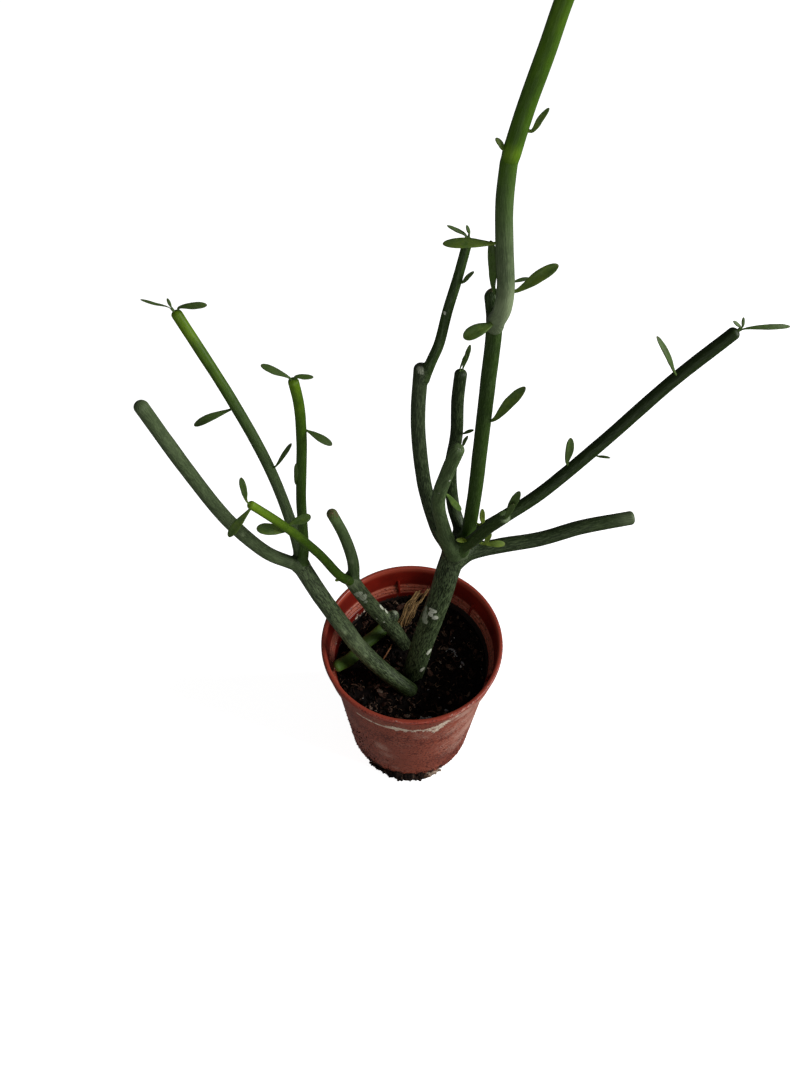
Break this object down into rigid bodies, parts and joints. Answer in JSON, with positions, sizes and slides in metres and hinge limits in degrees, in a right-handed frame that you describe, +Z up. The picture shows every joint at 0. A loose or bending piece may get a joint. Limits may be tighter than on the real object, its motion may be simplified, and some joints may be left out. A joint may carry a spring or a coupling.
{
  "type": "potted euphorbia",
  "caption": "Potted pencil-stemmed euphorbia: bare jointed green stems with a few small spoon-shaped leaves, rooted in dark soil in a small plastic nursery pot.",
  "frame": {"origin": "centre of the pot's foot, on the surface it stands on", "axes": "+Z up along the plant's height, +X to the right and +Y to the back as the picture sees it"},
  "size_m": [0.231, 0.09, 0.4175],
  "materials": {
    "pot": "red-brown moulded polypropylene, satin, scuffed and spotted with lime and dirt",
    "soil": "damp dark peat with bark fibres and white perlite grains",
    "crust": "dried soil with pale lime grains",
    "old_stem": "dark green-grey bark, finely furrowed along the stem, with dried sap patches",
    "stem": "smooth waxy dark green skin with fine lengthwise lines",
    "young_stem": "smooth waxy bright green skin, yellow-green at the tips",
    "straw": "dry split straw-coloured fibre"
  },
  "bodies": {
    "root": {"pot": "pot", "soil": "soil", "foot_crust": "crust", "right_trunk": "old_stem", "right_main_stem": "stem", "right_front_stem": "stem", "right_left_stem": "stem", "right_left_young_stem": "stem", "right_back_stem": "stem", "right_long_stem": "stem", "right_low_stem": "stem", "right_cut_stem": "stem", "right_upper_stem": "stem", "right_top_stem": "young_stem", "left_trunk": "old_stem", "left_outer_stem": "stem", "left_upright_stem": "young_stem", "left_tall_stem": "young_stem", "middle_trunk": "old_stem", "middle_young_stem": "young_stem", "middle_finger": "stem", "low_shoot": "stem", "dry_stalk": "straw", "soil_twig": "straw"}
  },
  "joints": []
}
